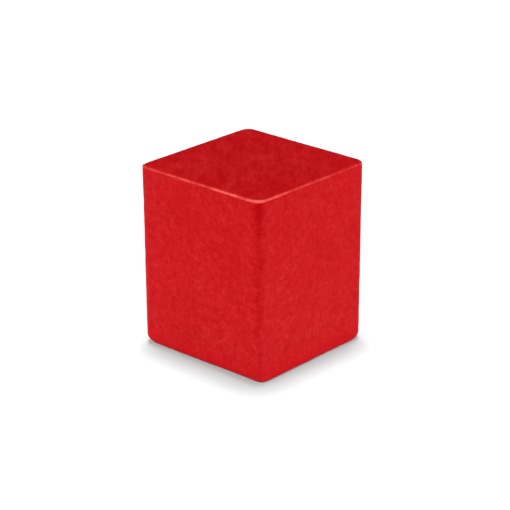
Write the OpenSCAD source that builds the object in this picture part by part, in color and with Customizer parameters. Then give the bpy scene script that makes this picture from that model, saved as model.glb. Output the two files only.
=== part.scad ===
// Painted wooden game block
// A short length of square hardwood strip, sawn off, tumbled until its edges are round,
// and coated all over in one colour of satin paint.
// The origin is the middle of the face that it stands on, with the grain of the wood along Z.

/* [Block] */
// Width over the paint, left to right
block_w = 10; // [6:0.5:25]
// Depth over the paint, front to back
block_d = 10; // [6:0.5:25]
// Height over the paint, the length of strip that was sawn off
block_h = 12; // [6:0.5:30]

/* [Tumbled edges] */
// Radius of the four upright edges, over the paint
upright_edge_r = 0.7; // [0.2:0.05:2]
// Radius of the rim round the top face, over the paint
top_rim_r = 0.25; // [0.15:0.05:2]
// Radius of the rim round the face that it stands on, over the paint
bottom_rim_r = 0.5; // [0.15:0.05:2]
// Smallest radius that tumbling leaves on an edge of the bare wood
bare_edge_r = 0.05; // [0.02:0.01:0.1]

/* [Paint] */
// Thickness of the dried paint
paint_t = 0.1; // [0.04:0.01:0.3]

/* [Hidden] */
$fn = 64;

// Upright section through a block, centred on its width and standing on the base line,
// with its two upper corners and its two lower corners rounded
module upright_section(span, height, top_r, bottom_r) {
    half = span / 2;
    translate([-half, bottom_r])
        square([span, height - top_r - bottom_r]);
    for (side = [-1, 1]) {
        translate([side * (half - top_r), height - top_r])
            circle(top_r);
        translate([side * (half - bottom_r), bottom_r])
            circle(bottom_r);
    }
    translate([top_r - half, height - 2 * top_r])
        square([span - 2 * top_r, 2 * top_r]);
    translate([bottom_r - half, 0])
        square([span - 2 * bottom_r, 2 * bottom_r]);
}

// One upright edge: a quarter turn of the section, so that both rims roll round the corner
module upright_edge(edge_r, height, top_r, bottom_r) {
    rotate_extrude(angle = 90)
        intersection() {
            upright_section(2 * edge_r, height, top_r, bottom_r);
            square([edge_r, height]);
        }
}

// Two crossed slabs with rounded rims, and an upright edge in each of the four corners they leave
module tumbled_block(width, depth, height, edge_r, top_rim, bottom_rim) {
    // The rims roll round the upright edges, so they can be no rounder than those
    top_r = min(top_rim, edge_r);
    bottom_r = min(bottom_rim, edge_r);
    corner_x = width / 2 - edge_r;
    corner_y = depth / 2 - edge_r;
    rotate([90, 0, 0])
        linear_extrude(2 * corner_y, center = true)
            upright_section(width, height, top_r, bottom_r);
    rotate([90, 0, 90])
        linear_extrude(2 * corner_x, center = true)
            upright_section(depth, height, top_r, bottom_r);
    for (x_side = [0, 1], y_side = [0, 1])
        mirror([x_side, 0, 0])
            mirror([0, y_side, 0])
                translate([corner_x, corner_y, 0])
                    upright_edge(edge_r, height, top_r, bottom_r);
}

// Radius of an edge of the wood under a painted edge
function under_paint(painted_r) = max(painted_r - paint_t, bare_edge_r);

// Outside of the wood, which is also the inside of the paint
module wood_outside() {
    translate([0, 0, paint_t])
        tumbled_block(
            block_w - 2 * paint_t,
            block_d - 2 * paint_t,
            block_h - 2 * paint_t,
            under_paint(upright_edge_r),
            under_paint(top_rim_r),
            under_paint(bottom_rim_r)
        );
}

module wood_blank() {
    color("burlywood")
        wood_outside();
}

module paint_coat() {
    color([0.75, 0.1, 0.12])
        difference() {
            tumbled_block(block_w, block_d, block_h, upright_edge_r, top_rim_r, bottom_rim_r);
            wood_outside();
        }
}

wood_blank();
paint_coat();
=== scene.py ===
"""Looks of a painted wooden game block: its satin red coat, the wood under it, and a pale studio."""

import math

import bl_math
import bmesh
import bpy
from mathutils import Matrix, Vector, noise


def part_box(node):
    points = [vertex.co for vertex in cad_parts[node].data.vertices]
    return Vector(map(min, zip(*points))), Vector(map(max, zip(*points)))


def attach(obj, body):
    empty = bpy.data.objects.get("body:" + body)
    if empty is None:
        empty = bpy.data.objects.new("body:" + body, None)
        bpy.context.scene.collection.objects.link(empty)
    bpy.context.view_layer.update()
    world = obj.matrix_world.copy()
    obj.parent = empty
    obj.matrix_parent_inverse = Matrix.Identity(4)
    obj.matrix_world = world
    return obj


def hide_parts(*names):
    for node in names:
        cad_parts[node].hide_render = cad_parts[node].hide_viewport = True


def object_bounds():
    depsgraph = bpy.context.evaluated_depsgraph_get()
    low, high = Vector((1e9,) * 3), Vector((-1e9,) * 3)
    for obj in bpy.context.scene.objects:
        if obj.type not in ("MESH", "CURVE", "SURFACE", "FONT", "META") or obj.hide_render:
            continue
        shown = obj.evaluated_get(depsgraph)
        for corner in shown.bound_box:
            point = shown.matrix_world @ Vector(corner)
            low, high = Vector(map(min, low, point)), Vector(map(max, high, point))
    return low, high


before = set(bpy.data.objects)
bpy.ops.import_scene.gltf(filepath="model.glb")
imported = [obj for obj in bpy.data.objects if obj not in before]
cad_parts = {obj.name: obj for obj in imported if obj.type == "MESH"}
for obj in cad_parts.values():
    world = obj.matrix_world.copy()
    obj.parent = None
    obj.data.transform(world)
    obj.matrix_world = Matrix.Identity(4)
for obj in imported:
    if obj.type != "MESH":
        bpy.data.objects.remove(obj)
cad_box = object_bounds()

MM = 0.001
X, Y, Z = 0, 1, 2
HALF_SIDE = cad_box[1].x / MM
HEIGHT = cad_box[1].z / MM

# Rounded edges over the paint, as the solids have them
UPRIGHT_EDGE_R = 0.7 * MM
TOP_RIM_R = 0.25 * MM
BOTTOM_RIM_R = 0.5 * MM
UPRIGHT_EDGE_STEPS = 10
TOP_RIM_STEPS = 7
BOTTOM_RIM_STEPS = 7

# How finely the flat faces are divided, so that the relief of the wood is in the mesh
COAT_STEP = 0.095 * MM
BLANK_STEP = 0.25 * MM
RIM_STRIP_CUTS = 4

# What counts as the same length, as the same height, and as a face that lies level
SAME_LENGTH = 0.001 * MM
SAME_HEIGHT = 0.01 * MM
LEVEL = 0.999

# Depth of the relief under the outer box of the paint, in millimetres.
# A depth below 0 leaves a corner sharper than the solids have it
WAVE_DEPTH = 0.014
FIBRE_DEPTH = 0.007
END_GRAIN_DEPTH = 0.006
DENT_DEPTH = 0.03
NEAR_CORNER_DEPTH = 0.02
LEFT_CORNER_DEPTH = -0.08
RIGHT_CORNER_DEPTH = -0.03
BOTTOM_CORNER_DEPTH = 0.04
BOTTOM_RIM_END_DEPTH = 0.07
BOTTOM_RIM_END_REACH = (0.4, 1.1)
LEFT_EDGE_SWING = 0.042

# Fineness of the relief, in cells to the millimetre, and the place in the noise that it is taken from
WAVES_PER_MM = (0.45, 0.45, 0.3)
FIBRES_PER_MM = (4.2, 4.2, 0.5)
END_GRAIN_PER_MM = (3.5, 3.5, 0.0)
END_GRAIN_FROM = (0.0, 0.0, 7.3)
DENTS_PER_MM = 1.1
DENTS_FROM = Vector((3.1, 8.2, 5.7))

# Radius of the edges that came out of the tumbler rounder or sharper than the rest, in millimetres:
# the near upright edge from its foot to its top, and the bottom rims of the two faces beside it
NEAR_EDGE_FOOT_R = 0.3
NEAR_EDGE_TOP_R = 0.925
FRONT_RIM_R = 0.57
FRONT_RIM_NEAR_END_R = 0.72
FRONT_RIM_CHANGE = (-1.5, 2.5)
RIGHT_RIM_R = 0.29

# How far a normal turns from a flat face to the middle of a rounded edge, as one minus a cosine
FLAT_TO_EDGE = 1 - math.sqrt(0.5)
EDGE_TO_CORNER = math.sqrt(0.5) - math.sqrt(1 / 3)

# Paint, in linear light
DEEP_RED = (0.465, 0.002, 0.006, 1)
MIDDLE_RED = (0.535, 0.016, 0.021, 1)
FULL_RED = (0.605, 0.045, 0.051, 1)
# Lighter red on the rim of the top: partly paint rubbed thin, partly a painted highlight
RUBBED_AND_HIGHLIGHT_RED = (0.72, 0.165, 0.14, 1)
# Painted light: a lighter red along the foot, against the shade near the floor
FOOT_PAINTED_LIGHT_RED = (0.62, 0.008, 0.017, 1)
RED_TONES = ((0.385, DEEP_RED), (0.66, MIDDLE_RED), (0.935, FULL_RED))
PAINT_ROUGHNESS = (0.50, 0.60)

# What adds to the tone of the paint beside its mottle
FIBRE_TONE = 0.08
CLOUD_TONE = 0.14
TOP_CLOUD_TONE = 0.48
TOP_CLOUD_ZERO = 0.62
# Painted light: the paint is a little lighter towards the foot and darker towards the top
PAINTED_DOWNWARD_LIGHT_TONE = 0.023
# Darker edges: partly paint that dried thicker, partly painted shade down the near upright edge
EDGE_BUILD_UP_AND_SHADE_TONE = -0.27

# Wood, in linear light
EARLY_WOOD = (0.66, 0.45, 0.28, 1)
LATE_WOOD = (0.52, 0.31, 0.17, 1)
RAY_BROWN = (0.33, 0.17, 0.08, 1)
WOOD_ROUGHNESS = (0.55, 0.72)

# Place of the block from the heart of its tree in millimetres, and the turn of the rays,
# which run out from the heart and cross the top in fine lines
FROM_HEART = (-24, 26, 0)
RAY_TURN = math.radians(42)

# Fineness of the paint and the wood, in cells to the millimetre along X, Y and Z
MOTTLE_PER_MM = (2.7, 2.7, 3.1)
TOP_MOTTLE_PER_MM = (2.9, 0.8, 2.9)
PAINT_FIBRES_PER_MM = (5, 5, 0.5)
CLOUDS_PER_MM = (0.35, 0.35, 0.25)
TOP_CLOUDS_PER_MM = (0.9, 0.4, 0.9)
RUBBED_AND_HIGHLIGHT_PATCHES_PER_MM = (1.1, 1.1, 1.1)
WOOD_FIBRES_PER_MM = (9, 9, 0.5)
FLECKS_PER_MM = (9, 3, 0.9)
MOST_OF_THE_NOISE = (0.3, 0.7)

# Heights between which one look gives way to another
WHOLE_HEIGHT = (0.0, 12 * MM)
FOOT = (0.2 * MM, 1.8 * MM)
NEAR_EDGE_LOWER_END = (0.5 * MM, 4.5 * MM)
NEAR_EDGE_UPPER_END = (8 * MM, 13 * MM)
TOP_FACE = (11.7 * MM, 11.9 * MM)
TOP_RIM = (11.76 * MM, 11.81 * MM)
TOP_RIM_UPPER_HALF = (11.90 * MM, 11.97 * MM)

# Directions on the block, seen from above: the near edge lies between the front face and the right face
UPWARDS = (0, 0, 1)
TO_NEAR_EDGE = (1, -1, 0)
FROM_NEAR_EDGE = (-1, 1, 0)
FROM_NEAR_CORNER_BY_RIMS = (-0.5, 1.6, 0)

# Lengths along them between which one look gives way to another
NEAR_HALF = (-0.3 * MM, 0.6 * MM)
NEAR_CORNER = (-10.5 * MM, -4.5 * MM)
NEAR_FACES = (-2.0 * MM, -0.7 * MM)

# Camera: turn round the block, height angle, distance of the lens, focal length and width of the sensor
CAMERA_TURN = math.radians(42.134)
CAMERA_RISE = math.radians(22.016)
CAMERA_DISTANCE = 119.33 * MM
CAMERA_LENS = 133.92
CAMERA_SENSOR = 36
CAMERA_SHIFT = (0.0040, -0.00545)
CAMERA_CONTRAST = 0.8

# Studio: paper of a mid grey, lit until it is white, so that it takes little red from the block
PAPER = (0.118, 0.12, 0.12, 1)
ROOM_MEAN = 0.58
ROOM_SWING = 0.44

# Soft lights for the floor alone and for the block alone:
# name, turn and rise in degrees from the camera's side, width in metres and power in watts
FLOOR_LIGHT_DISTANCE = 1.6
FLOOR_LIGHTS = (
    ("floor_top_light", 180, 87, 0.48, 13),
    ("floor_back_light", 180, 82, 0.48, 107),
    ("floor_front_light", 0, 26, 0.2, 154),
    ("floor_left_light", -45, 20, 0.8, 89),
    ("floor_right_light", 45, 20, 0.8, 58),
)
BLOCK_LIGHT_DISTANCE = 0.4
BLOCK_LIGHTS = (
    ("top_light", 0, 80, 0.11, 0.73),
    ("left_light", -78, 8, 0.07, 0.475),
    ("right_light", 84, 8, 0.07, 0.52),
    ("far_left_light", -135, 8, 0.11, 0.35),
    ("far_right_light", 135, 8, 0.11, 0.35),
)


def edges_where(bm, test):
    return [edge for edge in bm.edges if test(edge.verts[0].co, edge.verts[1].co)]


def round_edges(bm, edges, radius, steps):
    bmesh.ops.bevel(
        bm, geom=edges, offset=radius, offset_type="OFFSET", affect="EDGES",
        segments=steps, profile=0.5, material=-1, clamp_overlap=False,
    )


def tumbled_block(low, high, inset):
    """A block so far inside the paint, with its upright edges rounded first and then the rims."""
    size = high - low
    bm = bmesh.new()
    bmesh.ops.create_cube(bm, size=1.0)
    bmesh.ops.scale(bm, vec=size, verts=bm.verts)
    bmesh.ops.translate(bm, vec=(low + high) / 2, verts=bm.verts)
    uprights = edges_where(bm, lambda a, b: abs(a.z - b.z) > size.z / 2)
    round_edges(bm, uprights, UPRIGHT_EDGE_R - inset, UPRIGHT_EDGE_STEPS)
    for height, radius, steps in (
        (high.z, TOP_RIM_R, TOP_RIM_STEPS),
        (low.z, BOTTOM_RIM_R, BOTTOM_RIM_STEPS),
    ):
        rim = edges_where(bm, lambda a, b: max(abs(a.z - height), abs(b.z - height)) < SAME_HEIGHT)
        round_edges(bm, rim, radius - inset, steps)
    return bm


def divide_faces(bm, low, high, inset, face_step):
    """Cuts the flat faces into small squares, in line with each other from face to face."""
    for axis in (X, Y):
        for side in (-1, 1):
            across = Vector((0, 0, 0))
            across[axis] = 1
            reach = (high[axis] - low[axis]) / 2 - UPRIGHT_EDGE_R + inset
            ends = [face for face in bm.faces if abs(face.normal.z) > LEVEL]
            parts = set(ends)
            for face in ends:
                parts.update(face.edges)
                parts.update(face.verts)
            bmesh.ops.bisect_plane(
                bm, geom=list(parts), dist=SAME_LENGTH, plane_co=across * side * reach, plane_no=across,
            )
    for radius in (TOP_RIM_R, BOTTOM_RIM_R):
        strip = UPRIGHT_EDGE_R - radius
        short = [
            edge for edge in bm.edges
            if abs(edge.calc_length() - strip) < SAME_LENGTH
            and all(abs(face.normal.z) > LEVEL for face in edge.link_faces)
        ]
        bmesh.ops.subdivide_edges(bm, edges=short, cuts=RIM_STRIP_CUTS)
    for axis in (X, Y, Z):
        length = high[axis] - low[axis]
        long_edges = edges_where(bm, lambda a, b: abs(a[axis] - b[axis]) > length / 2)
        cuts = round(length / face_step)
        bmesh.ops.subdivide_edges(bm, edges=long_edges, cuts=cuts, use_grid_fill=True)
    many_sided = [face for face in bm.faces if len(face.verts) > 4]
    bmesh.ops.triangulate(bm, faces=many_sided)


def roundness(normal):
    """0 on the flat faces, 1 in the middle of a rounded edge, and more on a corner."""
    return (1 - max(abs(normal.x), abs(normal.y), abs(normal.z))) / FLAT_TO_EDGE


def arc_from_corner(across, radius):
    """How far a rounded edge lies in from the sharp corner, at a place so far across from its middle."""
    if abs(across) > radius / math.sqrt(2):
        return abs(across)
    return radius * math.sqrt(2) - math.sqrt(radius ** 2 - across ** 2)


def edge_wear(from_one_face, from_other_face, first_r, worn_r):
    """How far an edge is worn back at a point so far from its two faces; below 0 where it is sharper."""
    from_corner = (from_one_face + from_other_face) / math.sqrt(2)
    across = (from_one_face - from_other_face) / math.sqrt(2)
    first = arc_from_corner(across, first_r)
    worn = arc_from_corner(across, worn_r)
    return (worn - first) * max(0.0, 1 - (from_corner - first))


def uneven_radii(point):
    """The move that gives the near upright edge and the bottom rims beside it the radii that they have."""
    from_front = HALF_SIDE + point.y
    from_right = HALF_SIDE - point.x
    upright_r = bl_math.lerp(NEAR_EDGE_FOOT_R, NEAR_EDGE_TOP_R, point.z / HEIGHT)
    near_end = bl_math.smoothstep(*FRONT_RIM_CHANGE, point.x)
    front_r = bl_math.lerp(FRONT_RIM_R, FRONT_RIM_NEAR_END_R, near_end)
    upright = edge_wear(from_right, from_front, UPRIGHT_EDGE_R / MM, upright_r)
    front_rim = edge_wear(point.z, from_front, BOTTOM_RIM_R / MM, front_r)
    right_rim = edge_wear(point.z, from_right, BOTTOM_RIM_R / MM, RIGHT_RIM_R)
    return Vector((-upright - right_rim, upright + front_rim, front_rim + right_rim)) / math.sqrt(2)


def uneven_edges(point, normal):
    """What the tumbler took off the left edge and the ends of the bottom rims more than off the others."""
    level = math.hypot(normal.x, normal.y)
    upwards = 2 * point.z / HEIGHT - 1
    left_edge = (2 * normal.x * normal.y) ** 2 * max(0.0, -normal.x - normal.y) / math.sqrt(2)
    depth = -LEFT_EDGE_SWING * left_edge * upwards
    if normal.z < 0:
        rim = -2 * normal.z * level
        from_end = HALF_SIDE - min(abs(point.x), abs(point.y))
        near_end = 1 - bl_math.smoothstep(*BOTTOM_RIM_END_REACH, from_end)
        depth += BOTTOM_RIM_END_DEPTH * rim * near_end
    return depth


def noise_at(point, per_mm, start=(0.0, 0.0, 0.0)):
    """Noise from about 0 to 1, with so many cells to the millimetre along X, Y and Z."""
    place = [length * count + first for length, count, first in zip(point, per_mm, start)]
    return 0.5 + 0.5 * noise.noise(Vector(place))


def relief(point, normal):
    """How far the painted surface lies under the outer box, both in millimetres."""
    endness = normal.z * normal.z
    edge = min(1.0, roundness(normal))
    corner = max(0.0, roundness(normal) - 1) * FLAT_TO_EDGE / EDGE_TO_CORNER
    dent = max(0.0, noise.noise(point * DENTS_PER_MM + DENTS_FROM))
    depth = WAVE_DEPTH * noise_at(point, WAVES_PER_MM)
    depth += FIBRE_DEPTH * noise_at(point, FIBRES_PER_MM) * (1 - endness)
    depth += END_GRAIN_DEPTH * noise_at(point, END_GRAIN_PER_MM, END_GRAIN_FROM) * endness
    depth += DENT_DEPTH * dent * edge
    if normal.z < 0:
        depth += BOTTOM_CORNER_DEPTH * corner
    else:
        side = normal.x + normal.y
        side_depth = LEFT_CORNER_DEPTH if side < 0 else RIGHT_CORNER_DEPTH
        depth += bl_math.lerp(NEAR_CORNER_DEPTH, side_depth, abs(side)) * corner
    return depth + uneven_edges(point, normal)


def wear_down(bm, low, high, inset):
    """Sinks the relief into the block and notes how round each point is, which the paint uses.

    The relief of the wood under the paint only goes inwards, so that it stays under the paint.
    """
    bm.normal_update()
    under_paint = inset > 0
    round_layer = bm.verts.layers.float.new("roundness")
    moves = []
    for vert in bm.verts:
        outside = (vert.co + vert.normal * inset) / MM
        depth = relief(outside, vert.normal)
        if under_paint:
            depth = max(0.0, depth)
        moves.append((uneven_radii(outside) - vert.normal * depth) * MM)
    for vert, move in zip(bm.verts, moves):
        vert[round_layer] = roundness(vert.normal)
        place = vert.co + move
        vert.co = [min(max(place[axis], low[axis]), high[axis]) for axis in (X, Y, Z)]


def worn_block(name, node, material, face_step):
    """The coat of paint, or the wood that lies under it and is worn in the same places."""
    low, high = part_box(node)
    inset = low.z - cad_box[0].z
    bm = tumbled_block(low, high, inset)
    divide_faces(bm, low, high, inset, face_step)
    bmesh.ops.recalc_face_normals(bm, faces=bm.faces)
    wear_down(bm, low, high, inset)
    for face in bm.faces:
        face.smooth = True
    mesh = bpy.data.meshes.new(name)
    bm.to_mesh(mesh)
    bm.free()
    mesh.materials.append(material)
    piece = bpy.data.objects.new(name, mesh)
    bpy.context.scene.collection.objects.link(piece)
    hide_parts(node)
    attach(piece, "root")
    return piece


def feed(tree, socket, value):
    """Sets a socket, or links it where the value comes out of another node."""
    if isinstance(value, bpy.types.NodeSocket):
        tree.links.new(value, socket)
    else:
        socket.default_value = value


def add_node(tree, kind, inputs=(), **settings):
    """A shader node with its settings and the values or links of its inputs."""
    made = tree.nodes.new(kind)
    for name, value in settings.items():
        setattr(made, name, value)
    for name, value in dict(inputs).items():
        feed(tree, made.inputs[name], value)
    return made


def new_material(name):
    material = bpy.data.materials.new(name)
    material.use_nodes = True
    tree = material.node_tree
    return material, tree, tree.nodes["Principled BSDF"]


def noise_on(tree, place, per_mm, detail, roughness=0.5, turn=0.0):
    """Noise with so many cells to the millimetre along X, Y and Z, after a turn about Z."""
    stretched = add_node(tree, "ShaderNodeMapping", {
        "Vector": place, "Rotation": (0, 0, turn), "Scale": [MM / count for count in per_mm],
    }, vector_type="TEXTURE")
    made = add_node(tree, "ShaderNodeTexNoise", {
        "Vector": stretched.outputs["Vector"], "Scale": 1.0, "Detail": detail, "Roughness": roughness,
    })
    return made.outputs["Fac"]


def eased(tree, value, low, high, to_low=0.0, to_high=1.0):
    """The value carried smoothly from one range to another, and held at its ends."""
    made = add_node(tree, "ShaderNodeMapRange", {
        "Value": value, "From Min": low, "From Max": high, "To Min": to_low, "To Max": to_high,
    }, interpolation_type="SMOOTHSTEP")
    return made.outputs["Result"]


def maths(tree, operation, *values):
    made = add_node(tree, "ShaderNodeMath", operation=operation)
    for socket, value in zip(made.inputs, values):
        feed(tree, socket, value)
    return made.outputs["Value"]


def mixed(tree, share, first, second):
    """One colour changed into another where the share says so."""
    mix = add_node(tree, "ShaderNodeMix", data_type="RGBA")
    # This node has several sockets of each name, so those for colours go by their number
    feed(tree, mix.inputs[0], share)
    feed(tree, mix.inputs[6], first)
    feed(tree, mix.inputs[7], second)
    return mix.outputs[2]


def along(tree, place, direction):
    """How far a place lies along a direction."""
    measure = add_node(tree, "ShaderNodeVectorMath", operation="DOT_PRODUCT")
    feed(tree, measure.inputs[0], place)
    feed(tree, measure.inputs[1], direction)
    return measure.outputs["Value"]


def edge_mask(tree, low, high):
    """1 on the rounded edges and 0 on the flat faces."""
    roundness_here = add_node(tree, "ShaderNodeAttribute", attribute_name="roundness").outputs["Fac"]
    return eased(tree, roundness_here, low, high)


def rubbed_and_highlight_mask(tree, place):
    """Where hands have rubbed the paint thin and where a highlight is painted: in patches on the rim of the
    top, most at the near corner.
    """
    height = along(tree, place, UPWARDS)
    on_rim = eased(tree, height, *TOP_RIM)
    upper_half = eased(tree, height, *TOP_RIM_UPPER_HALF, 1.0, 0.1)
    near_side = eased(tree, along(tree, place, TO_NEAR_EDGE), *NEAR_HALF, 0.2, 0.4)
    from_corner = along(tree, place, FROM_NEAR_CORNER_BY_RIMS)
    near_corner = eased(tree, from_corner, *NEAR_CORNER, 1.0, near_side)
    patches = noise_on(tree, place, RUBBED_AND_HIGHLIGHT_PATCHES_PER_MM, 3.0, 0.7)
    rubbed_and_highlight = maths(tree, "MULTIPLY", edge_mask(tree, 0.05, 0.4), on_rim)
    rubbed_and_highlight = maths(tree, "MULTIPLY", rubbed_and_highlight, upper_half)
    rubbed_and_highlight = maths(tree, "MULTIPLY", rubbed_and_highlight, near_corner)
    return maths(tree, "MULTIPLY", rubbed_and_highlight, eased(tree, patches, 0.35, 0.6, 0.4, 1.0))


def built_up_and_shaded_edges(tree, place):
    """Where the paint is darker on the edges: on the far edges, and on the near upright edge towards its
    top, where it is partly paint that dried thicker and partly painted shade.

    Below 0 it is lighter, as on the lower end of the near upright edge, which is painted light.
    """
    height = along(tree, place, UPWARDS)
    upper_end = eased(tree, height, *NEAR_EDGE_UPPER_END, 0.15, 1.0)
    lower_end = eased(tree, height, *NEAR_EDGE_LOWER_END, -0.4, 0.0)
    near_upright = maths(tree, "ADD", upper_end, lower_end)
    from_near_edge = along(tree, place, FROM_NEAR_EDGE)
    share = eased(tree, from_near_edge, *NEAR_FACES, near_upright, 0.8)
    return maths(tree, "MULTIPLY", edge_mask(tree, 0.0, 0.8), share)


def paint_tone(tree, place, mottle, fibres):
    """Light and dark in the paint: mottled, painted light a little darker upwards, and darker on the edges,
    where it built up and where shade is painted.
    """
    height = along(tree, place, UPWARDS)
    clouds = noise_on(tree, place, CLOUDS_PER_MM, 1.0)
    top_clouds = noise_on(tree, place, TOP_CLOUDS_PER_MM, 2.0, turn=RAY_TURN)
    top_clouds = maths(tree, "SUBTRACT", top_clouds, TOP_CLOUD_ZERO)
    on_top = eased(tree, height, *TOP_FACE, 0.0, TOP_CLOUD_TONE)
    # Painted light: lighter towards the foot, darker towards the top
    painted_downward_light = eased(tree, height, *WHOLE_HEIGHT, PAINTED_DOWNWARD_LIGHT_TONE, -PAINTED_DOWNWARD_LIGHT_TONE)
    tone = maths(tree, "MULTIPLY_ADD", fibres, FIBRE_TONE, mottle)
    tone = maths(tree, "MULTIPLY_ADD", clouds, CLOUD_TONE, tone)
    tone = maths(tree, "ADD", tone, painted_downward_light)
    tone = maths(tree, "ADD", tone, maths(tree, "MULTIPLY", top_clouds, on_top))
    # Darker edges, partly painted shade, and painted light at the foot of the near upright edge
    return maths(tree, "MULTIPLY_ADD", built_up_and_shaded_edges(tree, place), EDGE_BUILD_UP_AND_SHADE_TONE, tone)


def red_paint_material():
    material, tree, shader = new_material("satin_red_paint")
    place = add_node(tree, "ShaderNodeTexCoord").outputs["Object"]
    height = along(tree, place, UPWARDS)
    side_mottle = noise_on(tree, place, MOTTLE_PER_MM, 3.0, 0.85)
    top_mottle = noise_on(tree, place, TOP_MOTTLE_PER_MM, 3.0, 0.85, RAY_TURN)
    mottle = eased(tree, height, *TOP_FACE, side_mottle, top_mottle)
    fibres = noise_on(tree, place, PAINT_FIBRES_PER_MM, 2.0)
    paint = add_node(tree, "ShaderNodeValToRGB", {"Fac": paint_tone(tree, place, mottle, fibres)})
    shades = paint.color_ramp.elements
    shades.new(RED_TONES[1][0])
    for shade, (position, colour) in zip(shades, RED_TONES):
        shade.position = position
        shade.color = colour
    # Painted light along the foot of the block
    painted_foot_light = eased(tree, height, *FOOT, 0.55, 0.0)
    # Rubbed paint and a painted highlight on the rim of the top
    rubbed_and_highlight = rubbed_and_highlight_mask(tree, place)
    colour = mixed(tree, painted_foot_light, paint.outputs["Color"], FOOT_PAINTED_LIGHT_RED)
    feed(tree, shader.inputs["Base Color"], mixed(tree, rubbed_and_highlight, colour, RUBBED_AND_HIGHLIGHT_RED))
    dull = eased(tree, mottle, *MOST_OF_THE_NOISE, *PAINT_ROUGHNESS)
    polish = maths(tree, "MULTIPLY", rubbed_and_highlight, -0.3)
    feed(tree, shader.inputs["Roughness"], maths(tree, "ADD", dull, polish))
    grain = maths(tree, "MULTIPLY_ADD", fibres, 0.6, mottle)
    bump = add_node(tree, "ShaderNodeBump", {"Height": grain, "Distance": 0.004 * MM, "Strength": 1.0})
    feed(tree, shader.inputs["Normal"], bump.outputs["Normal"])
    feed(tree, shader.inputs["Specular IOR Level"], 0.06)
    return material


def growth_rings(tree, place):
    """Rings about a heart that lies well outside the strip, each growing darker towards its outside."""
    from_heart = add_node(tree, "ShaderNodeMapping", {
        "Vector": place, "Location": FROM_HEART, "Scale": [1 / MM] * 3,
    })
    rings = add_node(tree, "ShaderNodeTexWave", {
        "Vector": from_heart.outputs["Vector"], "Scale": 0.2, "Distortion": 1.2, "Detail Scale": 0.6,
    }, wave_type="RINGS", rings_direction="Z", wave_profile="SAW")
    return rings.outputs["Fac"]


def beech_material():
    material, tree, shader = new_material("bare_beech")
    place = add_node(tree, "ShaderNodeTexCoord").outputs["Object"]
    fibres = noise_on(tree, place, WOOD_FIBRES_PER_MM, 3.0, 0.6)
    flecks = eased(tree, noise_on(tree, place, FLECKS_PER_MM, 1.0, turn=RAY_TURN), 0.62, 0.72)
    dark_fibres = eased(tree, fibres, *MOST_OF_THE_NOISE, 0.3, 1.0)
    darkness = maths(tree, "MULTIPLY", growth_rings(tree, place), dark_fibres)
    wood = mixed(tree, darkness, EARLY_WOOD, LATE_WOOD)
    fleck_share = maths(tree, "MULTIPLY", flecks, 0.5)
    feed(tree, shader.inputs["Base Color"], mixed(tree, fleck_share, wood, RAY_BROWN))
    feed(tree, shader.inputs["Roughness"], eased(tree, fibres, *MOST_OF_THE_NOISE, *WOOD_ROUGHNESS))
    grain = maths(tree, "MULTIPLY_ADD", flecks, -0.5, fibres)
    bump = add_node(tree, "ShaderNodeBump", {"Height": grain, "Distance": 0.01 * MM, "Strength": 1.0})
    feed(tree, shader.inputs["Normal"], bump.outputs["Normal"])
    feed(tree, shader.inputs["Specular IOR Level"], 0.3)
    return material


def paper_material():
    material, tree, shader = new_material("studio_paper")
    feed(tree, shader.inputs["Base Color"], PAPER)
    feed(tree, shader.inputs["Roughness"], 0.9)
    feed(tree, shader.inputs["Specular IOR Level"], 0.0)
    return material


def add_floor():
    bm = bmesh.new()
    bmesh.ops.create_grid(bm, x_segments=1, y_segments=1, size=1.0)
    mesh = bpy.data.meshes.new("floor")
    bm.to_mesh(mesh)
    bm.free()
    floor = bpy.data.objects.new("floor", mesh)
    bpy.context.scene.collection.objects.link(floor)
    floor.data.materials.append(paper_material())
    return floor


def away(turn, rise):
    """Unit direction from the block: turn 0 is towards the front face, rise is the angle over the floor."""
    return Vector((math.sin(turn) * math.cos(rise), -math.cos(turn) * math.cos(rise), math.sin(rise)))


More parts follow.
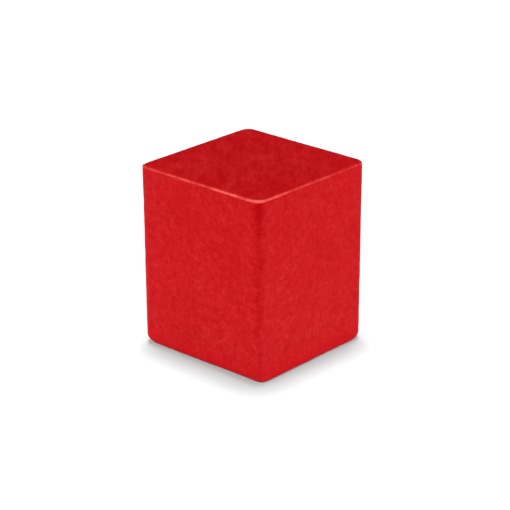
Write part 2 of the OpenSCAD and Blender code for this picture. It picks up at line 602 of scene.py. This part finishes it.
def add_camera(target):
    back = away(CAMERA_TURN, CAMERA_RISE)
    right = Vector((math.cos(CAMERA_TURN), math.sin(CAMERA_TURN), 0))
    up = back.cross(right)
    data = bpy.data.cameras.new("camera")
    data.sensor_width = CAMERA_SENSOR
    data.lens = CAMERA_LENS
    data.shift_x, data.shift_y = CAMERA_SHIFT
    data.clip_start = 1 * MM
    camera = bpy.data.objects.new("camera", data)
    pose = Matrix((right, up, back)).transposed().to_4x4()
    pose.translation = target + back * CAMERA_DISTANCE
    camera.matrix_world = pose
    bpy.context.scene.collection.objects.link(camera)
    bpy.context.scene.camera = camera


def add_softbox(name, lit, target, turn, rise, distance, width, power):
    """A square soft light that lights one thing only."""
    data = bpy.data.lights.new(name, "AREA")
    data.shape = "SQUARE"
    data.size = width
    data.energy = power
    light = bpy.data.objects.new(name, data)
    direction = away(CAMERA_TURN + math.radians(turn), math.radians(rise))
    light.location = target + direction * distance
    light.rotation_euler = direction.to_track_quat("Z", "Y").to_euler()
    light.visible_camera = False
    bpy.context.scene.collection.objects.link(light)
    only = bpy.data.collections.new("lit_by_" + name)
    only.objects.link(lit)
    light.light_linking.receiver_collection = only


def add_room():
    """A white room, brighter on the camera's side."""
    world = bpy.data.worlds.new("room")
    bpy.context.scene.world = world
    world.use_nodes = True
    tree = world.node_tree
    direction = add_node(tree, "ShaderNodeTexCoord").outputs["Generated"]
    facing = along(tree, direction, away(CAMERA_TURN, 0))
    room = tree.nodes["Background"]
    feed(tree, room.inputs["Color"], (1, 1, 1, 1))
    feed(tree, room.inputs["Strength"], maths(tree, "MULTIPLY_ADD", facing, ROOM_SWING, ROOM_MEAN))


def add_lights(target, block, floor):
    for name, turn, rise, width, power in FLOOR_LIGHTS:
        add_softbox(name, floor, target, turn, rise, FLOOR_LIGHT_DISTANCE, width, power)
    for name, turn, rise, width, power in BLOCK_LIGHTS:
        add_softbox(name, block, target, turn, rise, BLOCK_LIGHT_DISTANCE, width, power)


coat = worn_block("red_paint", "paint_coat", red_paint_material(), COAT_STEP)
worn_block("beech_blank", "wood_blank", beech_material(), BLANK_STEP)

middle = (cad_box[0] + cad_box[1]) / 2
add_camera(middle)
add_room()
add_lights(middle, coat, add_floor())
bpy.context.scene.view_settings.view_transform = "Standard"
bpy.context.scene.view_settings.gamma = CAMERA_CONTRAST
